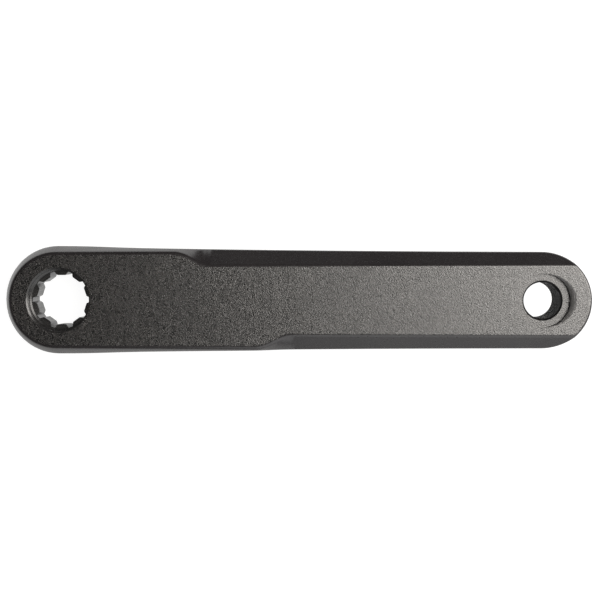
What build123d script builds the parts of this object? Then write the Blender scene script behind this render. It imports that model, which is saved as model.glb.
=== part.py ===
from build123d import *
import os
from math import cos, hypot, radians, sin, tan

# Bicycle crank arm, one forging with its seats machined afterwards. Sizes in millimetres.
# X runs from the spindle axis to the pedal axis, Z runs along both axes and points outboard,
# and the origin is on the spindle axis in the hub's inboard face.

# Arm
crank_length = 175.0        # spindle axis to pedal axis
face_slope = 5.0            # degrees, the outer face climbs outboard towards the pedal
arm_thickness = 15.4        # outer face to back face

# Outline seen along the forging direction
hub_end_radius = 20.0
hub_end_offset = 1.1        # centre of the hub's round end, behind the spindle axis
shoulder_radius = 400.0     # the sides leave the hub in a shallow shoulder
shoulder_turn = 2.46        # degrees
waist_radius = 900.0        # and hollow out again past it
waist_turn = 1.38           # degrees
pedal_end_radius = 17.3
pedal_end_offset = 0.2      # centre of the pedal's round end, short of the pedal axis

# Crown: the flat outer face, the steep rim round the hub and the bevels along the arm
face_hub_half = 17.5        # half width of the flat face at the hub
face_arm_half = 12.6        # half width of the flat face between the bevels
rim_angle = 30.0            # degrees, rim round the hub, from the forging direction
bevel_angle = 50.0          # degrees, bevels along the arm, from the forging direction
upper_run_start = 42.5      # the upper bevel runs out into the hub rim between these two
upper_run_end = 57.0
lower_run_start = 72.5      # the lower bevel starts further along the arm
lower_run_end = 87.5
crown_edge_radius = 2.0     # round between the flat face and its rim and bevels

# Sides and back
parting_land = 0.3          # least height of the upright side above the parting line
draft_angle = 3.0           # degrees, sides below the parting line
flank_edge_radius = 0.9     # where the rim, the bevels and the outer face meet the sides
back_edge_radius = 3.0
boss_radius = 16.5          # inboard boss round the spindle socket
boss_stand = 1.6            # least height of the boss above the sloping back
boss_root_radius = 1.2
boss_edge_chamfer = 0.5

# Spindle socket: ten splines with rounded shoulders on a slow taper, wider inboard
spline_count = 10
spline_tip_radius = 9.2     # outboard end of the splines
spline_root_radius = 10.75
spline_root_width = 1.5     # bottom of each groove
spline_mouth_width = 2.7    # each groove between the tips, before the shoulders are rounded
spline_shoulder_radius = 0.8
spline_taper = 1.0          # degrees per side
spline_end_z = 12.4         # outboard end of the splines
spline_lead = 0.5           # lead-in at the outboard end
socket_chamfer = 1.2        # at the inboard face

# Extractor thread and mouth, outboard of the splines (core of a M23 x 1 thread)
extractor_core_radius = 10.96
mouth_radius = 11.5
mouth_depth = 2.0           # outer face to the thread's lead-in, on the spindle axis
mouth_chamfer_width = 0.6   # across the outer face
mouth_chamfer_depth = 0.4   # down the mouth's wall

# Pedal hole (core of a 9/16 in x 20 thread) and its seat
pedal_core_radius = 6.46
pedal_hole_chamfer = 0.7
pedal_seat_radius = 9.6
pedal_seat_least = 0.3      # depth of the seat at its shallow side, towards the hub
pedal_wall_height = 1.3     # upright wall round the seat, under the lip of its deep side
pedal_lip_width = 3.6       # the lip rounds off level
pedal_lip_height = 1.0


slope = radians(face_slope)
rim_spread = tan(radians(rim_angle))            # sideways run of the rim for each millimetre of depth
bevel_spread = tan(radians(bevel_angle))
pedal_run = crank_length / cos(slope)           # distance along the sloping face between the axes
widest_end = max(hub_end_radius, pedal_end_radius)
rim_depth = (hub_end_radius - face_hub_half) / rim_spread
bevel_depth = (widest_end - face_arm_half) / bevel_spread
parting_depth = max(rim_depth, bevel_depth) + parting_land
crown_depth = 1.25 * parting_depth              # the crown's flanks reach below the parting line
hub_height = arm_thickness / cos(slope) + boss_radius * tan(slope) + boss_stand     # on the spindle axis
mouth_floor_z = hub_height - mouth_depth


def arm_outline() -> Sketch:
    """Outline of the arm in the plane of the outer face: two round ends and two waisted sides."""
    hub_x = -hub_end_offset
    steep = radians(shoulder_turn)
    easy = radians(shoulder_turn - waist_turn)
    top = Vector(hub_x, hub_end_radius)
    shoulder_end = top + shoulder_radius * Vector(sin(steep), cos(steep) - 1)
    waist_end = shoulder_end + waist_radius * Vector(sin(steep) - sin(easy), cos(steep) - cos(easy))

    # The last stretch of the side leaves the waist smoothly and touches the pedal's round end.
    outward = Vector(sin(easy), cos(easy))
    pedal_centre = Vector(pedal_run - pedal_end_offset, 0)
    reach = waist_end - pedal_centre
    hollow = (reach.dot(reach) - pedal_end_radius ** 2) / (2 * (pedal_end_radius - reach.dot(outward)))
    pedal_share = pedal_end_radius / (hollow + pedal_end_radius)
    pedal_touch = pedal_centre + (reach + hollow * outward) * pedal_share

    upper = [
        TangentArc(top, shoulder_end, tangent=(1, 0)),
        TangentArc(shoulder_end, waist_end, tangent=(cos(steep), -sin(steep))),
        TangentArc(waist_end, pedal_touch, tangent=(cos(easy), -sin(easy))),
    ]
    pedal_end = ThreePointArc(
        pedal_touch, (pedal_centre.X + pedal_end_radius, 0), (pedal_touch.X, -pedal_touch.Y)
    )
    hub_end = ThreePointArc((top.X, -top.Y), (hub_x - hub_end_radius, 0), top)
    return make_face(upper + [mirror(side, Plane.XZ) for side in upper] + [pedal_end, hub_end])


def crown_outline(depth: float) -> Sketch:
    """Section through the crown, a given depth below the outer face, open past the pedal end."""
    hub_half = face_hub_half + depth * rim_spread
    arm_half = face_arm_half + depth * bevel_spread
    hub_x = -hub_end_offset
    far_x = pedal_run + 2 * pedal_end_radius
    along = ((1, 0), (1, 0))
    back = ((-1, 0), (-1, 0))
    edges = [
        ThreePointArc((hub_x, -hub_half), (hub_x - hub_half, 0), (hub_x, hub_half)),
        Line((hub_x, hub_half), (upper_run_start, hub_half)),
        Spline((upper_run_start, hub_half), (upper_run_end, arm_half), tangents=along),
        Line((upper_run_end, arm_half), (far_x, arm_half)),
        Line((far_x, arm_half), (far_x, -arm_half)),
        Line((far_x, -arm_half), (lower_run_end, -arm_half)),
        Spline((lower_run_end, -arm_half), (lower_run_start, -hub_half), tangents=back),
        Line((lower_run_start, -hub_half), (hub_x, -hub_half)),
    ]
    return Pos(0, 0, -depth) * make_face(edges)


def crown() -> Part:
    """The crown with its rounded upper edge, continued straight down below the parting line."""
    flanks = loft([crown_outline(0), crown_outline(crown_depth)], ruled=True)
    face = flanks.faces().sort_by(Axis.Z)[-1]
    rim = face.edges().sort_by(Axis.X)[:-1]
    flanks = fillet(rim, crown_edge_radius)
    return flanks + extrude(crown_outline(crown_depth), -2 * arm_thickness)


def is_on_side(edge: Edge, outline: Sketch) -> bool:
    """Whether an edge runs round the side of the arm, rather than across it or down it."""
    points = [edge @ t for t in (0.1, 0.5, 0.9)]
    rim = outline.face().outer_wire()
    near = all(rim.distance_to(Vector(p.X, p.Y, -parting_depth)) < 0.01 for p in points)
    level = abs((edge % 0.5).Z) < 0.9
    return near and level


def blank() -> Part:
    """The forging before machining, with the outer face in the XY plane."""
    outline = Pos(0, 0, -parting_depth) * arm_outline()
    body = extrude(outline, parting_depth)
    body += extrude(outline, parting_depth - arm_thickness, taper=draft_angle)
    body &= crown()
    back = body.faces().sort_by(Axis.Z)[0]
    body = fillet(back.edges(), back_edge_radius)
    flank_edges = body.edges().filter_by(
        lambda edge: is_on_side(edge, outline) and edge.center().Z > -parting_depth + 0.01
    )
    return fillet(flank_edges, flank_edge_radius)


def inboard_boss() -> Part:
    """Boss round the socket, square to the spindle axis, reaching into the arm."""
    post = Cylinder(boss_radius, hub_height / 2, align=(Align.CENTER, Align.CENTER, Align.MIN))
    return chamfer(post.edges().sort_by(Axis.Z)[0], boss_edge_chamfer)


def is_round_spindle(edge: Edge, radius: float, lowest_z: float) -> bool:
    """Whether an edge runs round the spindle axis at a radius, and above a height."""
    points = [edge @ t for t in (0.1, 0.5, 0.9)]
    at_radius = all(abs(hypot(p.X, p.Y) - radius) < 0.01 for p in points)
    level = abs((edge % 0.5).Z) < 0.9
    return at_radius and level and edge.center().Z > lowest_z


def spline_section(grow: float) -> Sketch:
    """Opening between the splines, with the radii increased by grow, one groove on +X."""
    tip = spline_tip_radius + grow
    root = spline_root_radius + grow
    pitch = 360 / spline_count
    half_root = spline_root_width / 2
    half_mouth = spline_mouth_width / 2
    corners = []
    for i in range(spline_count):
        groove = [(tip, -half_mouth), (root, -half_root), (root, half_root), (tip, half_mouth)]
        turn = radians(i * pitch)
        for x, y in groove:
            corners.append((x * cos(turn) - y * sin(turn), x * sin(turn) + y * cos(turn)))
    section = make_face(Polyline(*corners, close=True))
    shoulders = section.vertices().filter_by(lambda v: hypot(v.X, v.Y) < (tip + root) / 2)
    return fillet(shoulders, spline_shoulder_radius)


def socket_cut() -> Part:
    """Splined socket, extractor core, mouth and the lead-ins, as one cutting body."""
    narrowing = tan(radians(spline_taper))
    inboard = spline_section(spline_end_z * narrowing)
    outboard = spline_section((spline_end_z - mouth_floor_z) * narrowing)
    splines = loft([inboard, Pos(0, 0, mouth_floor_z) * outboard], ruled=True)
    mouth_top_z = hub_height + 2 * hub_end_radius * tan(slope)
    cone_foot = spline_tip_radius / 2       # the splines' lead-in cone runs on inside the open bore
    bore = Polyline(
        (0, spline_end_z - spline_lead),
        (0, mouth_top_z),
        (mouth_radius, mouth_top_z),
        (mouth_radius, mouth_floor_z),
        (extractor_core_radius, mouth_floor_z - mouth_radius + extractor_core_radius),
        (extractor_core_radius, spline_end_z),
        (spline_tip_radius + spline_lead, spline_end_z),
        (cone_foot, spline_end_z - spline_lead - spline_tip_radius + cone_foot),
        close=True,
    )
    turned = revolve(Plane.XZ * make_face(bore), Axis.Z)
    lead_radius = spline_root_radius + spline_end_z * narrowing + socket_chamfer / 2
    lead = Cone(lead_radius, lead_radius - 2 * socket_chamfer, 2 * socket_chamfer,
                align=(Align.CENTER, Align.CENTER, Align.MIN))
    return splines + turned + lead


def pedal_cut(seat_z: float, back_z: float) -> Part:
    """Pedal hole, its two chamfers and the seat with the rounded lip, about the Z axis."""
    top_z = seat_z + pedal_seat_radius
    hole_mouth = pedal_core_radius + pedal_hole_chamfer
    wall_top = (pedal_seat_radius, seat_z + pedal_wall_height)
    lip_top = (pedal_seat_radius + pedal_lip_width, seat_z + pedal_wall_height + pedal_lip_height)
    profile = Polyline(
        lip_top,
        (lip_top[0], top_z),
        (0, top_z),
        (0, back_z - pedal_core_radius),
        (hole_mouth + pedal_core_radius, back_z - pedal_core_radius),
        (pedal_core_radius, back_z + pedal_hole_chamfer),
        (pedal_core_radius, seat_z - pedal_hole_chamfer),
        (hole_mouth, seat_z),
        (pedal_seat_radius, seat_z),
        wall_top,
    )
    lip = TangentArc(lip_top, wall_top, tangent=(-1, 0))
    return revolve(Plane.XZ * make_face(profile + lip), Axis.Z)


arm = Pos(0, 0, hub_height) * Rot(0, -face_slope, 0) * blank()
arm += inboard_boss()
boss_root = arm.edges().filter_by(lambda edge: is_round_spindle(edge, boss_radius, 2 * boss_edge_chamfer))
arm = fillet(boss_root, boss_root_radius)
arm -= socket_cut()
mouth_edge = arm.edges().filter_by(lambda edge: is_round_spindle(edge, mouth_radius, mouth_floor_z + 0.01))
outer_face = arm.faces().filter_by(lambda face: face.normal_at().Z > 0.9).sort_by(SortBy.AREA)[-1]
arm = chamfer(mouth_edge, mouth_chamfer_width, mouth_chamfer_depth, reference=outer_face)

face_z = hub_height + crank_length * tan(slope)
seat_z = face_z - pedal_seat_radius * tan(slope) - pedal_seat_least
back_z = face_z - arm_thickness / cos(slope)
arm -= Pos(crank_length, 0, 0) * pedal_cut(seat_z, back_z)

arm.label = "crank_arm"
os.makedirs("parts", exist_ok=True)
export_step(arm, "parts/crank_arm.step")
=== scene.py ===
"""Looks of a forged bicycle crank arm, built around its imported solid.

Every length is in metres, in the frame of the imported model: X runs from the spindle axis to the
pedal axis, Z points outboard along both axes, and the origin is in the hub's inboard face.
"""

from __future__ import annotations

import logging
import math
from dataclasses import dataclass, field
from enum import Enum

import bmesh
import bpy
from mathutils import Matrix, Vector


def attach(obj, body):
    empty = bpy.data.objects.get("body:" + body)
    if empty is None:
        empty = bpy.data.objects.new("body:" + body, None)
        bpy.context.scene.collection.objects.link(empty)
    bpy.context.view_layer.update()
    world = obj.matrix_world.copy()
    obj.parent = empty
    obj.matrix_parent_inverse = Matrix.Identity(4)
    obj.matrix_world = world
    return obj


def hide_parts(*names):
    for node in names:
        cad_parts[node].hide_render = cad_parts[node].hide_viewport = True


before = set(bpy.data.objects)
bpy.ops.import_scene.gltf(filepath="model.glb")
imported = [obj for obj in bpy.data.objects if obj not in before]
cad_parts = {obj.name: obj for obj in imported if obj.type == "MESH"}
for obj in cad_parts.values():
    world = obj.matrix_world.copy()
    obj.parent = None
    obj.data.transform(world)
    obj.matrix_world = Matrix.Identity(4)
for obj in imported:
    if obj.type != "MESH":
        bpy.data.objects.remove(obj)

LOG = logging.getLogger("crank_arm")

Colour = tuple[float, float, float]
Socket = bpy.types.NodeSocket

# Blender's wave texture multiplies the position by this before it takes the sine.
WAVE_FACTOR = 20.0

# Shades of the pits and the light spots in the blasted finish.
BLAST_PIT: Colour = (0.0005, 0.0005, 0.0005)
BLAST_SPOT: Colour = (0.072, 0.0680, 0.0645)


def grey(shade: float) -> Colour:
    """Return a neutral colour."""
    return (shade, shade, shade)


class Region(Enum):
    """Areas of the arm that are finished differently, and the deep side of the pedal seat's wall, which is
    darkened as painted shade. The value is the material's place on the mesh.
    """

    OUTER_FACE = 0
    FORGED_SKIN = 1
    SOCKET = 2
    HUB_TURNING = 3
    PEDAL_HOLE = 4
    # Deep side of the pedal seat's wall: painted shade, a near-black colour where the crease beside the
    # seat falls in shade.
    SEAT_WALL = 5
    PEDAL_SEAT = 6
    PEDAL_LIP = 7


class Hand(Enum):
    """Hand of a thread. The value is the direction in which it climbs."""

    RIGHT = 1
    LEFT = -1


class NodeSheet:
    """A new material's node tree, with short ways to add and join nodes."""

    def __init__(self, name: str) -> None:
        """Start an empty material.

        Args:
            name: Name of the material.
        """
        self.material = bpy.data.materials.new(name)
        self.material.use_nodes = True
        self.tree = self.material.node_tree
        self.tree.nodes.clear()

    def add(self, kind: str, **inputs: object) -> bpy.types.Node:
        """Add a node and set or link its inputs.

        Args:
            kind: Type name of the node.
            inputs: Values or output sockets, by input name with spaces written as underscores.

        Returns:
            The new node.
        """
        node = self.tree.nodes.new(kind)
        for key, value in inputs.items():
            socket = node.inputs[key.replace("_", " ")]
            if isinstance(value, Socket):
                self.tree.links.new(value, socket)
            else:
                socket.default_value = value
        return node

    def place(self) -> Socket:
        """Return the position on the piece, in metres."""
        return self.add("ShaderNodeTexCoord").outputs["Object"]

    def stretched(self, scale: tuple[float, float, float], shift: Vector) -> Socket:
        """Return the position on the piece, moved and then scaled along each axis.

        Args:
            scale: Factor along X, Y and Z.
            shift: Point that becomes the origin.

        Returns:
            Socket that carries the scaled position.
        """
        moved = self.add("ShaderNodeVectorMath", Vector=self.place())
        moved.operation = "SUBTRACT"
        moved.inputs[1].default_value = shift
        scaled = self.add("ShaderNodeVectorMath")
        scaled.operation = "MULTIPLY"
        self.tree.links.new(moved.outputs[0], scaled.inputs[0])
        scaled.inputs[1].default_value = scale
        return scaled.outputs[0]

    def noise(self, place: Socket, grain: float, detail: float = 2.0) -> Socket:
        """Return a smooth random value between 0 and 1.

        Args:
            place: Position socket.
            grain: Size of the spots, in the position's unit.
            detail: Number of finer layers.

        Returns:
            Socket that carries the value.
        """
        node = self.add("ShaderNodeTexNoise", Vector=place, Scale=1.0 / grain, Detail=detail)
        return node.outputs["Fac"]

    def mixed(self, first: Socket, second: Socket, share: float) -> Socket:
        """Return a mix of two noise values.

        Args:
            first: Noise socket.
            second: Noise socket.
            share: Part of the first value, from 0 to 1.

        Returns:
            Socket that carries the mixed value.
        """
        node = self.add("ShaderNodeMix", Factor=share)
        self.tree.links.new(second, node.inputs["A"])
        self.tree.links.new(first, node.inputs["B"])
        return node.outputs["Result"]

    def between(
        self, value: Socket, low: float, high: float, reach: float = 0.2, centre: float = 0.5
    ) -> Socket:
        """Return a value spread from low to high.

        Args:
            value: Socket, such as a noise, which is 0.5 on average.
            low: Result at the lower end of the reach, and below.
            high: Result at the upper end of the reach, and above.
            reach: Distance of both ends from the centre. A short reach gives hard spots.
            centre: Value in the middle. For a noise, one above 0.5 makes the high spots rare.

        Returns:
            Socket that carries the result.
        """
        node = self.add("ShaderNodeMapRange", Value=value)
        node.inputs["From Min"].default_value = centre - reach
        node.inputs["From Max"].default_value = centre + reach
        node.inputs["To Min"].default_value = low
        node.inputs["To Max"].default_value = high
        return node.outputs["Result"]

    def times(self, first: Socket, second: Socket) -> Socket:
        """Return the product of two colours.

        Args:
            first: Colour socket.
            second: Colour socket.

        Returns:
            Socket that carries the product.
        """
        node = self.add("ShaderNodeVectorMath")
        node.operation = "MULTIPLY"
        self.tree.links.new(first, node.inputs[0])
        self.tree.links.new(second, node.inputs[1])
        return node.outputs[0]

    def combined(self, operation: str, first: Socket, second: Socket) -> Socket:
        """Return two numbers combined.

        Args:
            operation: Blender's name for what is done with them, such as MULTIPLY.
            first: Number socket.
            second: Number socket.

        Returns:
            Socket that carries the result.
        """
        node = self.add("ShaderNodeMath")
        node.operation = operation
        self.tree.links.new(first, node.inputs[0])
        self.tree.links.new(second, node.inputs[1])
        return node.outputs[0]

    def blend(self, share: Socket, dark: Colour, light: Colour) -> Socket:
        """Return a colour between two shades.

        Args:
            share: Socket from 0 to 1.
            dark: Colour at 0.
            light: Colour at 1.

        Returns:
            Socket that carries the colour.
        """
        node = self.add("ShaderNodeMix")
        node.data_type = "RGBA"
        node.inputs[6].default_value = (*dark, 1.0)
        node.inputs[7].default_value = (*light, 1.0)
        self.tree.links.new(share, node.inputs[0])
        return node.outputs[2]

    def bump(self, height: Socket, depth: float, strength: float) -> Socket:
        """Return a normal that follows a height.

        Args:
            height: Socket from 0 to 1.
            depth: Height difference in metres.
            strength: Share of the effect, from 0 to 1.

        Returns:
            Socket that carries the normal.
        """
        node = self.add("ShaderNodeBump", Height=height, Strength=strength, Distance=depth)
        return node.outputs["Normal"]

    def finish(self, shader: bpy.types.Node) -> bpy.types.Material:
        """Join the shader to the output.

        Args:
            shader: Node whose first output is the surface.

        Returns:
            The finished material.
        """
        output = self.add("ShaderNodeOutputMaterial")
        self.tree.links.new(shader.outputs[0], output.inputs["Surface"])
        return self.material


@dataclass(frozen=True)
class Finish:
    """A surface finish: two shades, a range of roughness and a refractive index."""

    name: str
    dark: Colour
    light: Colour
    smooth: float
    rough: float
    index: float

    def material(self) -> bpy.types.Material:
        """Build the finish as a material."""
        raise NotImplementedError


@dataclass(frozen=True)
class Blasted(Finish):
    """Black anodised aluminium, blasted to a fine grain."""

    grain: float = 0.00026
    mottle: float = 0.0014
    cloud: float = 0.018
    depth: float = 0.000115
    relief: float = 0.8
    grain_share: float = 0.90
    spot_reach: float = 0.06
    spot_centre: float = 0.58
    gloss_reach: float = 0.07
    dim_tint: Colour = (0.95, 0.94, 0.96)
    bright_tint: Colour = (1.06, 1.05, 1.03)

    def material(self) -> bpy.types.Material:
        """Build the blasted finish.

        Returns:
            Material with grain in its colour, gloss and surface.
        """
        sheet = NodeSheet(self.name)
        place = sheet.place()
        grain = sheet.noise(place, self.grain, 0.0)
        mottle = sheet.noise(place, self.mottle)
        cloud = sheet.noise(place, self.cloud)
        speckle = sheet.mixed(grain, mottle, self.grain_share)
        spotted = sheet.between(speckle, 0.0, 1.0, self.spot_reach, self.spot_centre)
        spots = sheet.blend(spotted, self.dark, self.light)
        tint = sheet.blend(sheet.between(cloud, 0.0, 1.0), self.dim_tint, self.bright_tint)
        shader = sheet.add(
            "ShaderNodeBsdfPrincipled",
            Base_Color=sheet.times(spots, tint),
            Roughness=sheet.between(speckle, self.smooth, self.rough, self.gloss_reach),
            IOR=self.index,
            Normal=sheet.bump(grain, self.depth, self.relief),
        )
        return sheet.finish(shader)


@dataclass(frozen=True)
class Satin(Finish):
    """Black anodised aluminium with the even satin of a polished forging."""

    haze: float = 0.0009
    cloud: float = 0.020
    depth: float = 0.000004
    relief: float = 0.4

    def material(self) -> bpy.types.Material:
        """Build the satin finish.

        Returns:
            Material with a fine haze in its gloss and slow changes of shade.
        """
        sheet = NodeSheet(self.name)
        haze = sheet.noise(sheet.place(), self.haze, 1.0)
        cloud = sheet.noise(sheet.place(), self.cloud)
        shader = sheet.add(
            "ShaderNodeBsdfPrincipled",
            Base_Color=sheet.blend(sheet.between(cloud, 0.0, 1.0), self.dark, self.light),
            Roughness=sheet.between(haze, self.smooth, self.rough),
            IOR=self.index,
            Normal=sheet.bump(haze, self.depth, self.relief),
        )
        return sheet.finish(shader)


@dataclass(frozen=True)
class Broached(Finish):
    """Black anodised aluminium with the marks that a broach leaves along the splines."""

    mark: float = 0.00035
    run: float = 0.012
    stain: float = 0.003
    depth: float = 0.00003
    relief: float = 0.4

    def material(self) -> bpy.types.Material:
        """Build the broached finish.

        Returns:
            Material with fine lines along the spindle axis.
        """
        sheet = NodeSheet(self.name)
        along = sheet.stretched((1.0 / self.mark, 1.0 / self.mark, 1.0 / self.run), Vector())
        marks = sheet.noise(along, 1.0)
        stain = sheet.noise(sheet.place(), self.stain)
        shader = sheet.add(
            "ShaderNodeBsdfPrincipled",
            Base_Color=sheet.blend(sheet.between(stain, 0.0, 1.0), self.dark, self.light),
            Roughness=sheet.between(marks, self.smooth, self.rough),
            IOR=self.index,
            Normal=sheet.bump(marks, self.depth, self.relief),
        )
        return sheet.finish(shader)


@dataclass(frozen=True)
class Turned(Finish):
    """Aluminium with the rings that turning leaves round an axis, bare or anodised.

    The feed is the distance between rings divided by tau.
    """

    axis: float = 0.0
    metal: float = 0.0
    feed: float = 0.00025
    stain: float = 0.003
    depth: float = 0.00001
    relief: float = 0.4
    waver: float = 0.6

    def material(self) -> bpy.types.Material:
        """Build the turned finish.

        Returns:
            Material with fine rings round the axis.
        """
        sheet = NodeSheet(self.name)
        around = sheet.stretched((1.0, 1.0, 1.0), Vector((self.axis, 0.0, 0.0)))
        rings = sheet.add("ShaderNodeTexWave", Vector=around, Scale=1.0 / (self.feed * WAVE_FACTOR))
        rings.wave_type = "RINGS"
        rings.rings_direction = "Z"
        rings.inputs["Distortion"].default_value = self.waver
        stain = sheet.noise(around, self.stain)
        shader = sheet.add(
            "ShaderNodeBsdfPrincipled",
            Base_Color=sheet.blend(sheet.between(stain, 0.0, 1.0), self.dark, self.light),
            Metallic=self.metal,
            Roughness=sheet.between(stain, self.smooth, self.rough),
            IOR=self.index,
            Normal=sheet.bump(rings.outputs["Fac"], self.depth, self.relief),
        )
        return sheet.finish(shader)


@dataclass(frozen=True)
class Thread:
    """An inside thread whose groove is cut outwards from the core of a hole.

    The profile gives, over one pitch, the place along the axis in pitches and the depth from 0 to 1.
    """

    axis_x: float
    core: float
    major: float
    pitch: float
    low: float
    high: float
    lead: float
    hand: Hand = Hand.RIGHT
    run_out: float = 0.0006
    columns: int = 240
    least_height: float = 1e-7
    profile: tuple[tuple[float, float], ...] = (
        (0.0, 0.0), (0.125, 0.0), (0.25, 0.34), (0.4375, 0.85),
        (0.5, 1.0), (0.625, 1.0), (0.6875, 0.85), (0.875, 0.34),
    )

    def base(self, z: float) -> float:
        """Return the radius of the hole before threading, with its lead-in at the outboard end."""
        return self.core + max(0.0, z - (self.high - self.lead))

    def point(self, angle: float, part: float, depth: float) -> Vector:
        """Return a point of the threaded wall.

        Args:
            angle: Angle along the helix, in radians, from its start below the hole.
            part: Place in the thread's profile, in pitches.
            depth: Depth of the groove there, from 0 to 1.

        Returns:
            Point on the wall.
        """
        climb = self.low - self.pitch + self.pitch * (angle / math.tau + part)
        z = min(max(climb, self.low), self.high)
        ease = min(1.0, max(0.0, (z - self.low) / self.run_out))
        radius = max(self.base(z), self.core + (self.major - self.core) * depth * ease)
        if climb >= self.high:
            radius = self.base(self.high)
        turn = self.hand.value * angle
        return Vector((self.axis_x + radius * math.cos(turn), radius * math.sin(turn), z))

    def cut(self, mesh: bmesh.types.BMesh, place: int) -> int:
        """Put the threaded wall in place of the plain one.

        Args:
            mesh: Mesh that takes the wall, its plain wall already removed.
            place: Material place of the new faces.

        Returns:
            Number of faces added.
        """
        turns = math.ceil((self.high - self.low) / self.pitch) + 2
        steps = turns * self.columns
        lines = []
        for i in range(steps + 1):
            angle = math.tau * i / self.columns
            lines.append([mesh.verts.new(self.point(angle, part, depth)) for part, depth in self.profile])
        count = 0
        width = len(self.profile)
        for i in range(steps):
            for j in range(width):
                ahead = j + 1
                if ahead < width:
                    corners = [lines[i][j], lines[i + 1][j], lines[i + 1][ahead], lines[i][ahead]]
                elif i + 1 + self.columns <= steps:
                    corners = [
                        lines[i][j], lines[i + 1][j],
                        lines[i + 1 + self.columns][0], lines[i + self.columns][0],
                    ]
                else:
                    continue
                tall = max(v.co.z for v in corners) - min(v.co.z for v in corners)
                if tall < self.least_height:
                    continue
                if self.hand is Hand.RIGHT:
                    corners.reverse()
                face = mesh.faces.new(corners)
                face.material_index = place
                count += 1
        points = [v for line in lines for v in line]
        loose = [v for v in points if not v.link_faces]
        wall = [v for v in points if v.link_faces]
        bmesh.ops.delete(mesh, geom=loose, context="VERTS")
        bmesh.ops.remove_doubles(mesh, verts=wall, dist=self.least_height)
        return count


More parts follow.
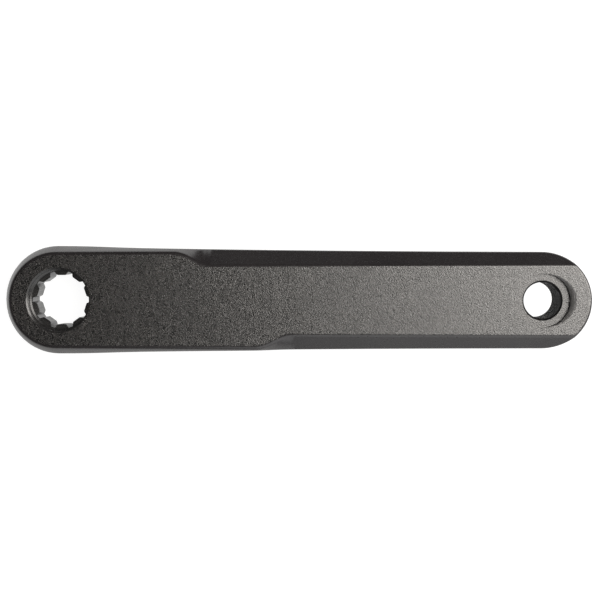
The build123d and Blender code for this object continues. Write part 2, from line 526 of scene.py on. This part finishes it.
@dataclass
class CrankArm:
    """The arm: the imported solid's shape with real threads, dressed area by area."""

    node: str = "crank_arm"
    crank_length: float = 0.175
    face_slope: float = math.radians(5.0)
    hub_height: float = 0.018502
    bevel_angle: float = math.radians(50.0)
    mouth_reach: float = 0.0130
    boss_reach: float = 0.0170
    pedal_seat: float = 0.032673
    pedal_seat_radius: float = 0.0096
    pedal_lip_radius: float = 0.0132
    pedal_mouth: float = 0.00716
    smooth_angle: float = math.radians(34.0)
    weld: float = 1e-7
    hair: float = 1e-6
    near: float = 1e-5
    skin: float = 2e-5
    wall_margin: float = 1e-4
    boss_edge: float = 6e-4
    level_least: float = 0.99
    outward_least: float = 0.9
    flat_least: float = 0.9999995
    back_least: float = 0.999
    extractor: Thread = field(
        default_factory=lambda: Thread(
            axis_x=0.0,
            core=0.01096,
            major=0.0115,
            pitch=0.0010,
            low=0.0124,
            high=0.016502,
            lead=0.00054,
        )
    )
    pedal: Thread = field(
        default_factory=lambda: Thread(
            axis_x=0.175,
            core=0.00646,
            major=0.007144,
            pitch=0.00127,
            low=0.019054,
            high=0.032673,
            lead=0.0007,
        )
    )

    def finishes(self) -> dict[Region, Finish]:
        """Return the finish of each area."""
        return {
            Region.OUTER_FACE: Blasted("blasted_black", BLAST_PIT, BLAST_SPOT, 0.23, 0.29, 2.04),
            Region.FORGED_SKIN: Satin(
                "satin_black", (0.0196, 0.0172, 0.0183), (0.0250, 0.0224, 0.0234), 0.22, 0.28, 1.84
            ),
            Region.SOCKET: Broached(
                "broached_black", grey(0.010), (0.026, 0.025, 0.025), 0.22, 0.34, 1.75
            ),
            Region.HUB_TURNING: Turned(
                "turned_bare", grey(0.28), (0.36, 0.355, 0.35), 0.30, 0.38, 1.45, metal=1.0
            ),
            Region.PEDAL_HOLE: Turned(
                "turned_black", grey(0.008), grey(0.014), 0.26, 0.36, 1.5, axis=self.crank_length
            ),
            Region.PEDAL_SEAT: Blasted("blasted_seat", BLAST_PIT, BLAST_SPOT, 0.23, 0.29, 1.85),
            Region.PEDAL_LIP: Blasted("blasted_lip", BLAST_PIT, BLAST_SPOT, 0.38, 0.45, 2.35),
            # Painted shade: a near-black colour and a low refractive index make the deep side of the seat
            # wall show as a dark crease.
            Region.SEAT_WALL: Turned(
                "turned_painted_shade", grey(0.002), grey(0.004), 0.40, 0.50, 1.2, axis=self.crank_length
            ),
        }

    def build(self) -> bpy.types.Object:
        """Build and dress the arm.

        Returns:
            The new piece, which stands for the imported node.
        """
        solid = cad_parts[self.node]
        mesh = bmesh.new()
        mesh.from_mesh(solid.data)
        bmesh.ops.remove_doubles(mesh, verts=mesh.verts, dist=self.weld)
        self.open_walls(mesh)
        for region in Region:
            self.mark(mesh, region)
        faces = self.extractor.cut(mesh, Region.SOCKET.value)
        LOG.info("extractor thread: %d faces", faces)
        faces = self.pedal.cut(mesh, Region.PEDAL_HOLE.value)
        LOG.info("pedal thread: %d faces", faces)
        self.close_seams(mesh)
        normals = self.corner_normals(mesh)
        data = bpy.data.meshes.new("crank_arm_dressed")
        mesh.to_mesh(data)
        mesh.free()
        data.shade_smooth()
        data.normals_split_custom_set(normals)
        piece = bpy.data.objects.new("crank_arm_dressed", data)
        bpy.context.scene.collection.objects.link(piece)
        self.dress(piece)
        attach(piece, "root")
        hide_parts(self.node)
        return piece

    def open_walls(self, mesh: bmesh.types.BMesh) -> None:
        """Remove the plain walls of the two holes where the threads go.

        Args:
            mesh: Mesh of the whole arm.
        """
        plain = []
        for face in mesh.faces:
            centre = face.calc_center_median()
            level = abs(face.normal.z) > self.level_least
            in_hub = self.from_spindle(centre) < self.extractor.major + self.wall_margin
            in_hub = in_hub and self.extractor.low + self.hair < centre.z < self.extractor.high - self.hair
            in_pedal = self.from_pedal(centre) < self.pedal_mouth
            in_pedal = in_pedal and self.pedal.low - self.hair < centre.z < self.pedal.high - self.hair
            if (in_hub or in_pedal) and not level:
                plain.append(face)
        bmesh.ops.delete(mesh, geom=plain, context="FACES")

    def close_seams(self, mesh: bmesh.types.BMesh) -> None:
        """Join the rims of the threads to the rims of the walls they stand between.

        Args:
            mesh: Mesh of the whole arm with both threads.
        """
        for thread, region in ((self.extractor, Region.SOCKET), (self.pedal, Region.PEDAL_HOLE)):
            for level in (thread.low, thread.high):
                rims = self.rim_edges(mesh, thread, level)
                joined = bmesh.ops.bridge_loops(mesh, edges=rims)["faces"]
                for face in joined:
                    face.material_index = region.value
        bmesh.ops.remove_doubles(mesh, verts=mesh.verts, dist=self.weld)
        LOG.info("open edges left: %d", sum(edge.is_boundary for edge in mesh.edges))

    def rim_edges(self, mesh: bmesh.types.BMesh, thread: Thread, level: float) -> list[bmesh.types.BMEdge]:
        """Return the open edges at one end of a thread.

        Args:
            mesh: Mesh of the whole arm.
            thread: Thread whose end is closed.
            level: Height of that end.

        Returns:
            Edges of the thread's rim and of the rim beside it.
        """
        rims = []
        for edge in mesh.edges:
            first, second = (corner.co for corner in edge.verts)
            at_level = abs(first.z - level) < self.near and abs(second.z - level) < self.near
            from_axis = math.hypot(first.x - thread.axis_x, first.y)
            if edge.is_boundary and at_level and from_axis < self.mouth_reach:
                rims.append(edge)
        return rims

    def from_spindle(self, point: Vector) -> float:
        """Return the distance of a point from the spindle axis."""
        return math.hypot(point.x, point.y)

    def from_pedal(self, point: Vector) -> float:
        """Return the distance of a point from the pedal axis."""
        return math.hypot(point.x - self.crank_length, point.y)

    def below_face(self, point: Vector) -> float:
        """Return how far a point lies below the plane of the outer face, along Z."""
        return self.hub_height + point.x * math.tan(self.face_slope) - point.z

    def region(self, face: bmesh.types.BMFace) -> Region:
        """Tell which area a face belongs to.

        Args:
            face: Face of the arm.

        Returns:
            The face's area.
        """
        centre = face.calc_center_median()
        depth = self.below_face(centre)
        if abs(depth) < self.skin and face.normal.z > self.outward_least:
            return Region.OUTER_FACE
        if -face.normal.dot(self.outward()) > self.back_least:
            return Region.FORGED_SKIN
        if self.from_spindle(centre) < self.mouth_reach and centre.z > self.near:
            return Region.SOCKET
        if self.from_spindle(centre) < self.boss_reach and centre.z < self.boss_edge:
            return Region.HUB_TURNING
        if self.from_pedal(centre) < self.pedal_seat_radius + self.near:
            if centre.z < self.pedal_seat - self.skin:
                return Region.PEDAL_HOLE
            # Painted shade: only the part of the seat wall beyond the pedal axis is darkened; the rest of
            # the wall takes the seat's finish.
            in_painted_shade = centre.z > self.pedal_seat + self.skin and centre.x > self.crank_length
            return Region.SEAT_WALL if in_painted_shade else Region.PEDAL_SEAT
        on_lip = self.from_pedal(centre) < self.pedal_lip_radius and centre.z > self.pedal_seat
        return Region.PEDAL_LIP if on_lip else Region.FORGED_SKIN

    def mark(self, mesh: bmesh.types.BMesh, region: Region) -> None:
        """Give the faces of one area their material place.

        Args:
            mesh: Mesh of the whole arm.
            region: Area to mark.
        """
        faces = [f for f in mesh.faces if self.region(f) is region]
        for face in faces:
            face.material_index = region.value
        LOG.info("%s: %d faces", region.name.lower(), len(faces))

    def dress(self, piece: bpy.types.Object) -> None:
        """Give the piece its materials, in the order of the areas.

        Args:
            piece: The arm.
        """
        finishes = self.finishes()
        for region in Region:
            piece.data.materials.append(finishes[region].material())

    def outward(self) -> Vector:
        """Return the direction that the outer face looks in. The back looks the opposite way."""
        return Vector((-math.sin(self.face_slope), 0.0, math.cos(self.face_slope)))

    def flat_normals(self) -> list[Vector]:
        """Return the directions that the arm's flat faces look in: face, back, bevels and square cuts."""
        up = self.outward()
        side = Vector((0.0, math.cos(self.bevel_angle), 0.0))
        rise = up * math.sin(self.bevel_angle)
        square = Vector((0.0, 0.0, 1.0))
        return [up, -up, rise + side, rise - side, square, -square]

    def fans(self, vert: bmesh.types.BMVert) -> list[list[bmesh.types.BMFace]]:
        """Split the faces round a corner point into groups that join smoothly.

        Args:
            vert: Corner point.

        Returns:
            The groups of faces.
        """
        left = list(vert.link_faces)
        groups = []
        while left:
            group = [left.pop()]
            for face in group:
                for edge in face.edges:
                    if vert not in edge.verts or edge.calc_face_angle(math.pi) > self.smooth_angle:
                        continue
                    for other in edge.link_faces:
                        if other in left:
                            left.remove(other)
                            group.append(other)
            groups.append(group)
        return groups

    def corner_normals(self, mesh: bmesh.types.BMesh) -> list[Vector]:
        """Work out the normals that shade the rounds smoothly and keep the flats flat.

        Args:
            mesh: Mesh of the whole arm.

        Returns:
            A normal for each corner of each face, in the mesh's order.
        """
        mesh.normal_update()
        mesh.verts.index_update()
        mesh.faces.index_update()
        flats = self.flat_normals()
        flat = [any(face.normal.dot(way) > self.flat_least for way in flats) for face in mesh.faces]
        found = {}
        for vert in mesh.verts:
            for fan in self.fans(vert):
                ruling = [face for face in fan if flat[face.index]] or fan
                shared = Vector()
                for face in ruling:
                    corner = next(loop for loop in face.loops if loop.vert is vert)
                    shared += face.normal * corner.calc_angle()
                shared.normalize()
                for face in fan:
                    found[face.index, vert.index] = face.normal.copy() if flat[face.index] else shared
        return [found[face.index, loop.vert.index] for face in mesh.faces for loop in face.loops]


@dataclass(frozen=True)
class Lamp:
    """A soft panel lamp: the centre and size of the panel, its power in watts and its colour."""

    name: str
    place: tuple[float, float, float]
    size: tuple[float, float]
    power: float
    tint: Colour

    def hang(self, target: Vector) -> None:
        """Hang the lamp.

        Args:
            target: Point that the lamp faces.
        """
        light = bpy.data.lights.new(self.name, "AREA")
        light.shape = "RECTANGLE"
        light.size, light.size_y = self.size
        light.energy = self.power
        light.color = self.tint
        holder = bpy.data.objects.new(self.name, light)
        holder.location = self.place
        holder.rotation_euler = (target - Vector(self.place)).to_track_quat("-Z", "Y").to_euler()
        bpy.context.scene.collection.objects.link(holder)
        LOG.info("lamp %s", self.name)


@dataclass
class Studio:
    """Pale floor, soft lamps and dim surroundings.

    In gloss the floor shows brighter along the uphill direction, from gloss_low to gloss_high: a painted
    reflection, which makes the arm's surfaces that face that way reflect brighter than those facing the
    other way.
    """

    floor_reach: float = 4.0
    floor_drop: float = 0.0004
    floor_shade: float = 0.25
    floor_change: float = 0.01
    floor_speck: float = 0.002
    floor_glow: float = 0.92
    gloss_uphill: tuple[float, float, float] = (0.4, 1.0, 0.0)
    gloss_centre: float = 0.01
    gloss_reach: float = 0.04
    gloss_low: float = 0.55
    gloss_high: float = 1.08
    surroundings: float = 0.045
    middle: tuple[float, float, float] = (0.09, 0.0, 0.02)
    key_tint: Colour = (1.0, 0.96, 0.915)
    plain_tint: Colour = (1.0, 1.0, 1.0)

    def lamps(self) -> list[Lamp]:
        """Return the lamps of the studio."""
        return [
            Lamp("key_panel", (0.545, 0.16, 0.76), (0.60, 0.90), 9.4, self.key_tint),
            Lamp("top_strip", (0.090, 0.13, 1.00), (0.18, 0.46), 0.54, self.key_tint),
            Lamp("front_panel", (0.40, -0.75, 0.55), (1.2, 1.0), 3.25, self.plain_tint),
        ]

    def build(self) -> None:
        """Build the floor, the surroundings and the lamps."""
        self.lay_floor()
        self.light_world()
        for lamp in self.lamps():
            lamp.hang(Vector(self.middle))

    def lay_floor(self) -> bpy.types.Object:
        """Lay the floor just under the arm.

        Returns:
            The floor.
        """
        data = bpy.data.meshes.new("floor")
        reach = self.floor_reach
        corners = [(-reach, -reach), (reach, -reach), (reach, reach), (-reach, reach)]
        data.from_pydata([(x, y, -self.floor_drop) for x, y in corners], [], [(0, 1, 2, 3)])
        floor = bpy.data.objects.new("floor", data)
        bpy.context.scene.collection.objects.link(floor)
        data.materials.append(self.paper())
        return floor

    def paper(self) -> bpy.types.Material:
        """Build the floor's paper, which looks white and keeps the shadow of the arm.

        Returns:
            Material that glows only to the camera, to gloss and through clear pieces.
        """
        sheet = NodeSheet("white_paper")
        speck = sheet.between(sheet.noise(sheet.place(), self.floor_speck), 0.0, 1.0)
        low = self.floor_shade - self.floor_change
        high = self.floor_shade + self.floor_change
        diffuse = sheet.add("ShaderNodeBsdfDiffuse", Color=sheet.blend(speck, grey(low), grey(high)))
        path = sheet.add("ShaderNodeLightPath")
        across = sheet.add("ShaderNodeVectorMath", Vector=sheet.place())
        across.operation = "DOT_PRODUCT"
        across.inputs[1].default_value = self.gloss_uphill
        uphill = across.outputs["Value"]
        # Painted reflection: the glow that gloss sees is dimmer on the -Y side of the arm and brighter
        # towards +Y.
        mirrored = sheet.between(
            uphill, self.gloss_low, self.gloss_high, self.gloss_reach, self.gloss_centre
        )
        gloss = sheet.combined("MULTIPLY", path.outputs["Is Glossy Ray"], mirrored)
        seen = sheet.combined("MAXIMUM", path.outputs["Is Camera Ray"], gloss)
        through = sheet.combined("MAXIMUM", seen, path.outputs["Is Transmission Ray"])
        level = sheet.add("ShaderNodeMath")
        level.operation = "MULTIPLY"
        level.inputs[1].default_value = self.floor_glow
        sheet.tree.links.new(through, level.inputs[0])
        glow = sheet.add("ShaderNodeEmission", Strength=level.outputs[0])
        both = sheet.add("ShaderNodeAddShader")
        sheet.tree.links.new(diffuse.outputs[0], both.inputs[0])
        sheet.tree.links.new(glow.outputs[0], both.inputs[1])
        return sheet.finish(both)

    def light_world(self) -> None:
        """Set the even dim light of the surroundings."""
        world = bpy.data.worlds.new("surroundings")
        world.use_nodes = True
        back = world.node_tree.nodes["Background"]
        back.inputs["Color"].default_value = (1.0, 1.0, 1.0, 1.0)
        back.inputs["Strength"].default_value = self.surroundings
        bpy.context.scene.world = world


@dataclass
class PhotoCamera:
    """Camera that looks straight down on the outer face, from a little above the middle line."""

    place: Vector = field(default_factory=lambda: Vector((0.08906, 0.0150, 0.41323)))
    tilt: float = math.radians(2.195)
    roll: float = math.radians(-0.146)
    lens: float = 64.46
    sensor: float = 36.0
    near_clip: float = 0.01

    def build(self) -> bpy.types.Object:
        """Build the camera and make it the scene's own.

        Returns:
            The camera.
        """
        data = bpy.data.cameras.new("photo_camera")
        data.lens = self.lens
        data.sensor_width = self.sensor
        data.clip_start = self.near_clip
        camera = bpy.data.objects.new("photo_camera", data)
        camera.location = self.place
        camera.rotation_euler = (-self.tilt, 0.0, self.roll)
        bpy.context.scene.collection.objects.link(camera)
        bpy.context.scene.camera = camera
        return camera


def main() -> None:
    """Build the camera, the studio and the arm, and log the arm's face count."""
    logging.basicConfig(level=logging.INFO, format="%(name)s: %(message)s")
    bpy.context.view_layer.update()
    bpy.context.scene.view_settings.view_transform = "Standard"
    PhotoCamera().build()
    Studio().build()
    piece = CrankArm().build()
    LOG.info("built %s with %d faces", piece.name, len(piece.data.polygons))


if __name__ == "__main__":
    main()
